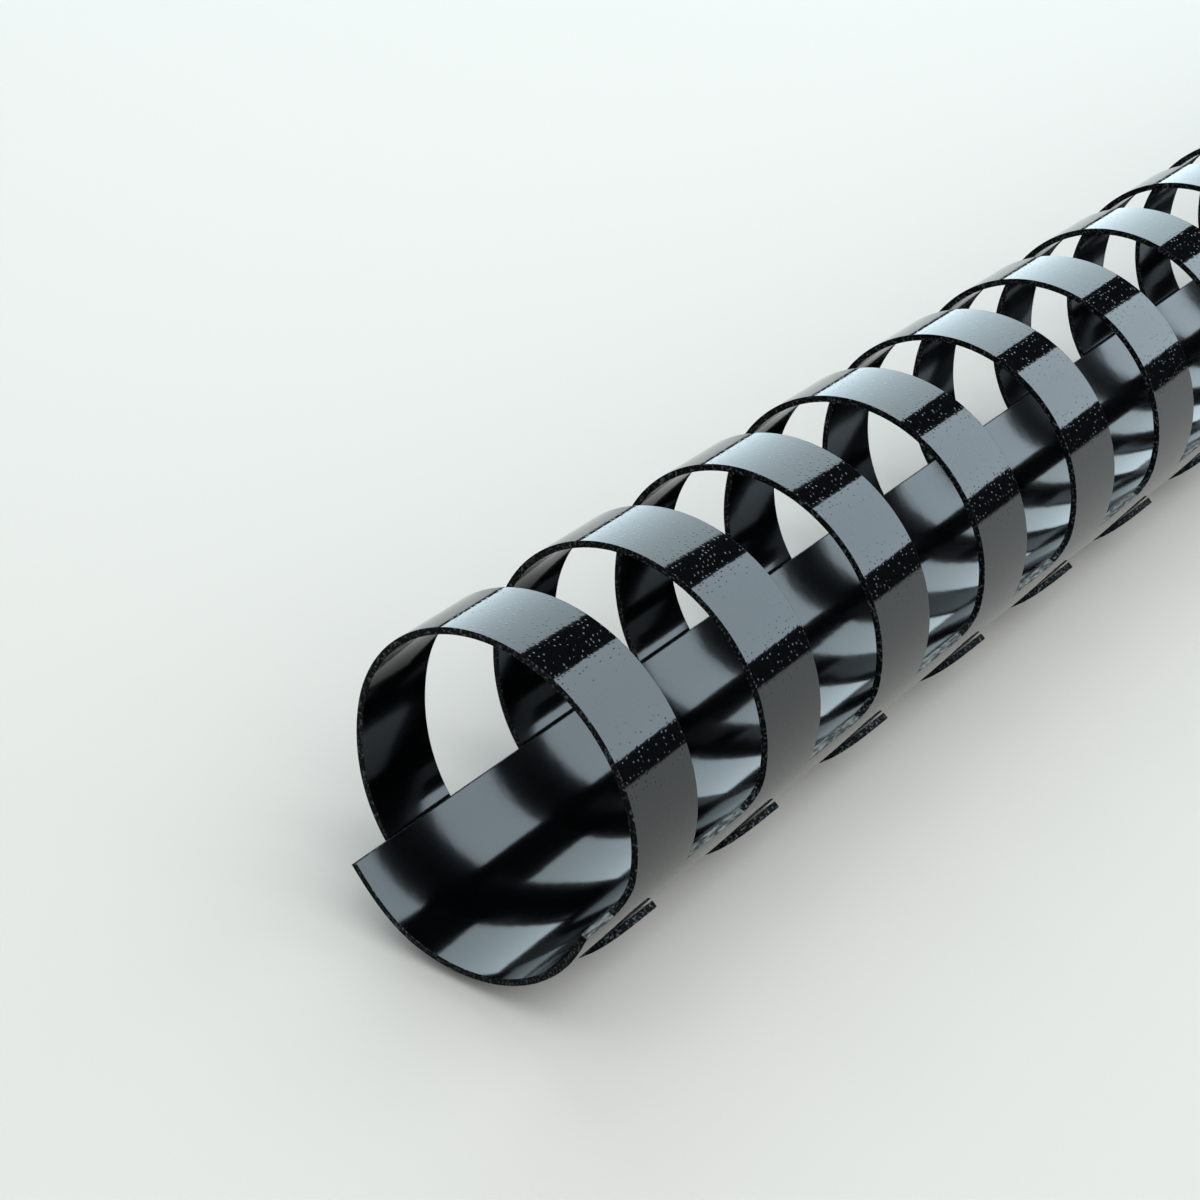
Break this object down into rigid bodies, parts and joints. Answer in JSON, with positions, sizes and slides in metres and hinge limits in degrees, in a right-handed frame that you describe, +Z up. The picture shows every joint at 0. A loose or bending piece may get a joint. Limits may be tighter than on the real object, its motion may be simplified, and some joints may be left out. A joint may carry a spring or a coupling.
{
  "type": "plastic binding comb",
  "caption": "Glossy black plastic binding comb: a curved spine with a row of curled rings that spring open and tuck back under it.",
  "frame": {"origin": "under the middle of the comb's length and width, on the surface it lies on", "axes": "+X along the comb, away from ring 1; +Z up, with the spine at the bottom; -Y is the side where the rings are rooted"},
  "size_m": [0.3008, 0.0236, 0.024],
  "materials": {
    "black_pvc": "black PVC sheet, high gloss, with a fine embossed dot grain on the outside and smooth inside; the cut edges are duller"
  },
  "bodies": {
    "spine": {"spine_strip_1": "black_pvc", "spine_strip_2": "black_pvc", "spine_strip_3": "black_pvc", "spine_strip_4": "black_pvc", "spine_strip_5": "black_pvc", "spine_strip_6": "black_pvc"},
    "ring_01_upper": {"ring_01_upper": "black_pvc"},
    "ring_01_tail": {"ring_01_tail": "black_pvc"},
    "ring_02_upper": {"ring_02_upper": "black_pvc"},
    "ring_02_tail": {"ring_02_tail": "black_pvc"},
    "ring_03_upper": {"ring_03_upper": "black_pvc"},
    "ring_03_tail": {"ring_03_tail": "black_pvc"},
    "ring_04_upper": {"ring_04_upper": "black_pvc"},
    "ring_04_tail": {"ring_04_tail": "black_pvc"},
    "ring_05_upper": {"ring_05_upper": "black_pvc"},
    "ring_05_tail": {"ring_05_tail": "black_pvc"},
    "ring_06_upper": {"ring_06_upper": "black_pvc"},
    "ring_06_tail": {"ring_06_tail": "black_pvc"},
    "ring_07_upper": {"ring_07_upper": "black_pvc"},
    "ring_07_tail": {"ring_07_tail": "black_pvc"},
    "ring_08_upper": {"ring_08_upper": "black_pvc"},
    "ring_08_tail": {"ring_08_tail": "black_pvc"},
    "ring_09_upper": {"ring_09_upper": "black_pvc"},
    "ring_09_tail": {"ring_09_tail": "black_pvc"},
    "ring_10_upper": {"ring_10_upper": "black_pvc"},
    "ring_10_tail": {"ring_10_tail": "black_pvc"},
    "ring_11_upper": {"ring_11_upper": "black_pvc"},
    "ring_11_tail": {"ring_11_tail": "black_pvc"},
    "ring_12_upper": {"ring_12_upper": "black_pvc"},
    "ring_12_tail": {"ring_12_tail": "black_pvc"},
    "ring_13_upper": {"ring_13_upper": "black_pvc"},
    "ring_13_tail": {"ring_13_tail": "black_pvc"},
    "ring_14_upper": {"ring_14_upper": "black_pvc"},
    "ring_14_tail": {"ring_14_tail": "black_pvc"},
    "ring_15_upper": {"ring_15_upper": "black_pvc"},
    "ring_15_tail": {"ring_15_tail": "black_pvc"},
    "ring_16_upper": {"ring_16_upper": "black_pvc"},
    "ring_16_tail": {"ring_16_tail": "black_pvc"},
    "ring_17_upper": {"ring_17_upper": "black_pvc"},
    "ring_17_tail": {"ring_17_tail": "black_pvc"},
    "ring_18_upper": {"ring_18_upper": "black_pvc"},
    "ring_18_tail": {"ring_18_tail": "black_pvc"},
    "ring_19_upper": {"ring_19_upper": "black_pvc"},
    "ring_19_tail": {"ring_19_tail": "black_pvc"},
    "ring_20_upper": {"ring_20_upper": "black_pvc"},
    "ring_20_tail": {"ring_20_tail": "black_pvc"},
    "ring_21_upper": {"ring_21_upper": "black_pvc"},
    "ring_21_tail": {"ring_21_tail": "black_pvc"}
  },
  "joints": [
    {"name": "ring_01_open", "type": "hinge", "parent": "spine", "child": "ring_01_upper", "pos_m": [-0.14288, -0.01111, 0.00857], "axis": [1, 0, 0], "range_deg": [0, 40], "stiffness_Nm_per_rad": 0.006, "springref_deg": -5.73},
    {"name": "ring_01_uncurl", "type": "hinge", "parent": "ring_01_upper", "child": "ring_01_tail", "pos_m": [-0.14288, 0.01142, 0.01444], "axis": [1, 0, 0], "range_deg": [0, 80], "stiffness_Nm_per_rad": 0.006, "springref_deg": -5.73},
    {"name": "ring_02_open", "type": "hinge", "parent": "spine", "child": "ring_02_upper", "pos_m": [-0.12859, -0.01111, 0.00857], "axis": [1, 0, 0], "range_deg": [0, 40], "stiffness_Nm_per_rad": 0.006, "springref_deg": -5.73},
    {"name": "ring_02_uncurl", "type": "hinge", "parent": "ring_02_upper", "child": "ring_02_tail", "pos_m": [-0.12859, 0.01142, 0.01444], "axis": [1, 0, 0], "range_deg": [0, 80], "stiffness_Nm_per_rad": 0.006, "springref_deg": -5.73},
    {"name": "ring_03_open", "type": "hinge", "parent": "spine", "child": "ring_03_upper", "pos_m": [-0.1143, -0.01111, 0.00857], "axis": [1, 0, 0], "range_deg": [0, 40], "stiffness_Nm_per_rad": 0.006, "springref_deg": -5.73},
    {"name": "ring_03_uncurl", "type": "hinge", "parent": "ring_03_upper", "child": "ring_03_tail", "pos_m": [-0.1143, 0.01142, 0.01444], "axis": [1, 0, 0], "range_deg": [0, 80], "stiffness_Nm_per_rad": 0.006, "springref_deg": -5.73},
    {"name": "ring_04_open", "type": "hinge", "parent": "spine", "child": "ring_04_upper", "pos_m": [-0.10001, -0.01111, 0.00857], "axis": [1, 0, 0], "range_deg": [0, 40], "stiffness_Nm_per_rad": 0.006, "springref_deg": -5.73},
    {"name": "ring_04_uncurl", "type": "hinge", "parent": "ring_04_upper", "child": "ring_04_tail", "pos_m": [-0.10001, 0.01142, 0.01444], "axis": [1, 0, 0], "range_deg": [0, 80], "stiffness_Nm_per_rad": 0.006, "springref_deg": -5.73},
    {"name": "ring_05_open", "type": "hinge", "parent": "spine", "child": "ring_05_upper", "pos_m": [-0.08572, -0.01111, 0.00857], "axis": [1, 0, 0], "range_deg": [0, 40], "stiffness_Nm_per_rad": 0.006, "springref_deg": -5.73},
    {"name": "ring_05_uncurl", "type": "hinge", "parent": "ring_05_upper", "child": "ring_05_tail", "pos_m": [-0.08572, 0.01142, 0.01444], "axis": [1, 0, 0], "range_deg": [0, 80], "stiffness_Nm_per_rad": 0.006, "springref_deg": -5.73},
    {"name": "ring_06_open", "type": "hinge", "parent": "spine", "child": "ring_06_upper", "pos_m": [-0.07144, -0.01111, 0.00857], "axis": [1, 0, 0], "range_deg": [0, 40], "stiffness_Nm_per_rad": 0.006, "springref_deg": -5.73},
    {"name": "ring_06_uncurl", "type": "hinge", "parent": "ring_06_upper", "child": "ring_06_tail", "pos_m": [-0.07144, 0.01142, 0.01444], "axis": [1, 0, 0], "range_deg": [0, 80], "stiffness_Nm_per_rad": 0.006, "springref_deg": -5.73},
    {"name": "ring_07_open", "type": "hinge", "parent": "spine", "child": "ring_07_upper", "pos_m": [-0.05715, -0.01111, 0.00857], "axis": [1, 0, 0], "range_deg": [0, 40], "stiffness_Nm_per_rad": 0.006, "springref_deg": -5.73},
    {"name": "ring_07_uncurl", "type": "hinge", "parent": "ring_07_upper", "child": "ring_07_tail", "pos_m": [-0.05715, 0.01142, 0.01444], "axis": [1, 0, 0], "range_deg": [0, 80], "stiffness_Nm_per_rad": 0.006, "springref_deg": -5.73},
    {"name": "ring_08_open", "type": "hinge", "parent": "spine", "child": "ring_08_upper", "pos_m": [-0.04286, -0.01111, 0.00857], "axis": [1, 0, 0], "range_deg": [0, 40], "stiffness_Nm_per_rad": 0.006, "springref_deg": -5.73},
    {"name": "ring_08_uncurl", "type": "hinge", "parent": "ring_08_upper", "child": "ring_08_tail", "pos_m": [-0.04286, 0.01142, 0.01444], "axis": [1, 0, 0], "range_deg": [0, 80], "stiffness_Nm_per_rad": 0.006, "springref_deg": -5.73},
    {"name": "ring_09_open", "type": "hinge", "parent": "spine", "child": "ring_09_upper", "pos_m": [-0.02857, -0.01111, 0.00857], "axis": [1, 0, 0], "range_deg": [0, 40], "stiffness_Nm_per_rad": 0.006, "springref_deg": -5.73},
    {"name": "ring_09_uncurl", "type": "hinge", "parent": "ring_09_upper", "child": "ring_09_tail", "pos_m": [-0.02857, 0.01142, 0.01444], "axis": [1, 0, 0], "range_deg": [0, 80], "stiffness_Nm_per_rad": 0.006, "springref_deg": -5.73},
    {"name": "ring_10_open", "type": "hinge", "parent": "spine", "child": "ring_10_upper", "pos_m": [-0.01429, -0.01111, 0.00857], "axis": [1, 0, 0], "range_deg": [0, 40], "stiffness_Nm_per_rad": 0.006, "springref_deg": -5.73},
    {"name": "ring_10_uncurl", "type": "hinge", "parent": "ring_10_upper", "child": "ring_10_tail", "pos_m": [-0.01429, 0.01142, 0.01444], "axis": [1, 0, 0], "range_deg": [0, 80], "stiffness_Nm_per_rad": 0.006, "springref_deg": -5.73},
    {"name": "ring_11_open", "type": "hinge", "parent": "spine", "child": "ring_11_upper", "pos_m": [0, -0.01111, 0.00857], "axis": [1, 0, 0], "range_deg": [0, 40], "stiffness_Nm_per_rad": 0.006, "springref_deg": -5.73},
    {"name": "ring_11_uncurl", "type": "hinge", "parent": "ring_11_upper", "child": "ring_11_tail", "pos_m": [0, 0.01142, 0.01444], "axis": [1, 0, 0], "range_deg": [0, 80], "stiffness_Nm_per_rad": 0.006, "springref_deg": -5.73},
    {"name": "ring_12_open", "type": "hinge", "parent": "spine", "child": "ring_12_upper", "pos_m": [0.01429, -0.01111, 0.00857], "axis": [1, 0, 0], "range_deg": [0, 40], "stiffness_Nm_per_rad": 0.006, "springref_deg": -5.73},
    {"name": "ring_12_uncurl", "type": "hinge", "parent": "ring_12_upper", "child": "ring_12_tail", "pos_m": [0.01429, 0.01142, 0.01444], "axis": [1, 0, 0], "range_deg": [0, 80], "stiffness_Nm_per_rad": 0.006, "springref_deg": -5.73},
    {"name": "ring_13_open", "type": "hinge", "parent": "spine", "child": "ring_13_upper", "pos_m": [0.02857, -0.01111, 0.00857], "axis": [1, 0, 0], "range_deg": [0, 40], "stiffness_Nm_per_rad": 0.006, "springref_deg": -5.73},
    {"name": "ring_13_uncurl", "type": "hinge", "parent": "ring_13_upper", "child": "ring_13_tail", "pos_m": [0.02857, 0.01142, 0.01444], "axis": [1, 0, 0], "range_deg": [0, 80], "stiffness_Nm_per_rad": 0.006, "springref_deg": -5.73},
    {"name": "ring_14_open", "type": "hinge", "parent": "spine", "child": "ring_14_upper", "pos_m": [0.04286, -0.01111, 0.00857], "axis": [1, 0, 0], "range_deg": [0, 40], "stiffness_Nm_per_rad": 0.006, "springref_deg": -5.73},
    {"name": "ring_14_uncurl", "type": "hinge", "parent": "ring_14_upper", "child": "ring_14_tail", "pos_m": [0.04286, 0.01142, 0.01444], "axis": [1, 0, 0], "range_deg": [0, 80], "stiffness_Nm_per_rad": 0.006, "springref_deg": -5.73},
    {"name": "ring_15_open", "type": "hinge", "parent": "spine", "child": "ring_15_upper", "pos_m": [0.05715, -0.01111, 0.00857], "axis": [1, 0, 0], "range_deg": [0, 40], "stiffness_Nm_per_rad": 0.006, "springref_deg": -5.73},
    {"name": "ring_15_uncurl", "type": "hinge", "parent": "ring_15_upper", "child": "ring_15_tail", "pos_m": [0.05715, 0.01142, 0.01444], "axis": [1, 0, 0], "range_deg": [0, 80], "stiffness_Nm_per_rad": 0.006, "springref_deg": -5.73},
    {"name": "ring_16_open", "type": "hinge", "parent": "spine", "child": "ring_16_upper", "pos_m": [0.07144, -0.01111, 0.00857], "axis": [1, 0, 0], "range_deg": [0, 40], "stiffness_Nm_per_rad": 0.006, "springref_deg": -5.73},
    {"name": "ring_16_uncurl", "type": "hinge", "parent": "ring_16_upper", "child": "ring_16_tail", "pos_m": [0.07144, 0.01142, 0.01444], "axis": [1, 0, 0], "range_deg": [0, 80], "stiffness_Nm_per_rad": 0.006, "springref_deg": -5.73},
    {"name": "ring_17_open", "type": "hinge", "parent": "spine", "child": "ring_17_upper", "pos_m": [0.08572, -0.01111, 0.00857], "axis": [1, 0, 0], "range_deg": [0, 40], "stiffness_Nm_per_rad": 0.006, "springref_deg": -5.73},
    {"name": "ring_17_uncurl", "type": "hinge", "parent": "ring_17_upper", "child": "ring_17_tail", "pos_m": [0.08572, 0.01142, 0.01444], "axis": [1, 0, 0], "range_deg": [0, 80], "stiffness_Nm_per_rad": 0.006, "springref_deg": -5.73},
    {"name": "ring_18_open", "type": "hinge", "parent": "spine", "child": "ring_18_upper", "pos_m": [0.10001, -0.01111, 0.00857], "axis": [1, 0, 0], "range_deg": [0, 40], "stiffness_Nm_per_rad": 0.006, "springref_deg": -5.73},
    {"name": "ring_18_uncurl", "type": "hinge", "parent": "ring_18_upper", "child": "ring_18_tail", "pos_m": [0.10001, 0.01142, 0.01444], "axis": [1, 0, 0], "range_deg": [0, 80], "stiffness_Nm_per_rad": 0.006, "springref_deg": -5.73},
    {"name": "ring_19_open", "type": "hinge", "parent": "spine", "child": "ring_19_upper", "pos_m": [0.1143, -0.01111, 0.00857], "axis": [1, 0, 0], "range_deg": [0, 40], "stiffness_Nm_per_rad": 0.006, "springref_deg": -5.73},
    {"name": "ring_19_uncurl", "type": "hinge", "parent": "ring_19_upper", "child": "ring_19_tail", "pos_m": [0.1143, 0.01142, 0.01444], "axis": [1, 0, 0], "range_deg": [0, 80], "stiffness_Nm_per_rad": 0.006, "springref_deg": -5.73},
    {"name": "ring_20_open", "type": "hinge", "parent": "spine", "child": "ring_20_upper", "pos_m": [0.12859, -0.01111, 0.00857], "axis": [1, 0, 0], "range_deg": [0, 40], "stiffness_Nm_per_rad": 0.006, "springref_deg": -5.73},
    {"name": "ring_20_uncurl", "type": "hinge", "parent": "ring_20_upper", "child": "ring_20_tail", "pos_m": [0.12859, 0.01142, 0.01444], "axis": [1, 0, 0], "range_deg": [0, 80], "stiffness_Nm_per_rad": 0.006, "springref_deg": -5.73},
    {"name": "ring_21_open", "type": "hinge", "parent": "spine", "child": "ring_21_upper", "pos_m": [0.14288, -0.01111, 0.00857], "axis": [1, 0, 0], "range_deg": [0, 40], "stiffness_Nm_per_rad": 0.006, "springref_deg": -5.73},
    {"name": "ring_21_uncurl", "type": "hinge", "parent": "ring_21_upper", "child": "ring_21_tail", "pos_m": [0.14288, 0.01142, 0.01444], "axis": [1, 0, 0], "range_deg": [0, 80], "stiffness_Nm_per_rad": 0.006, "springref_deg": -5.73}
  ],
  "couplings": [
    {"joint": "ring_01_uncurl", "follows": "ring_01_open", "ratio": 2},
    {"joint": "ring_02_uncurl", "follows": "ring_02_open", "ratio": 2},
    {"joint": "ring_03_uncurl", "follows": "ring_03_open", "ratio": 2},
    {"joint": "ring_04_uncurl", "follows": "ring_04_open", "ratio": 2},
    {"joint": "ring_05_uncurl", "follows": "ring_05_open", "ratio": 2},
    {"joint": "ring_06_uncurl", "follows": "ring_06_open", "ratio": 2},
    {"joint": "ring_07_uncurl", "follows": "ring_07_open", "ratio": 2},
    {"joint": "ring_08_uncurl", "follows": "ring_08_open", "ratio": 2},
    {"joint": "ring_09_uncurl", "follows": "ring_09_open", "ratio": 2},
    {"joint": "ring_10_uncurl", "follows": "ring_10_open", "ratio": 2},
    {"joint": "ring_11_uncurl", "follows": "ring_11_open", "ratio": 2},
    {"joint": "ring_12_uncurl", "follows": "ring_12_open", "ratio": 2},
    {"joint": "ring_13_uncurl", "follows": "ring_13_open", "ratio": 2},
    {"joint": "ring_14_uncurl", "follows": "ring_14_open", "ratio": 2},
    {"joint": "ring_15_uncurl", "follows": "ring_15_open", "ratio": 2},
    {"joint": "ring_16_uncurl", "follows": "ring_16_open", "ratio": 2},
    {"joint": "ring_17_uncurl", "follows": "ring_17_open", "ratio": 2},
    {"joint": "ring_18_uncurl", "follows": "ring_18_open", "ratio": 2},
    {"joint": "ring_19_uncurl", "follows": "ring_19_open", "ratio": 2},
    {"joint": "ring_20_uncurl", "follows": "ring_20_open", "ratio": 2},
    {"joint": "ring_21_uncurl", "follows": "ring_21_open", "ratio": 2}
  ]
}
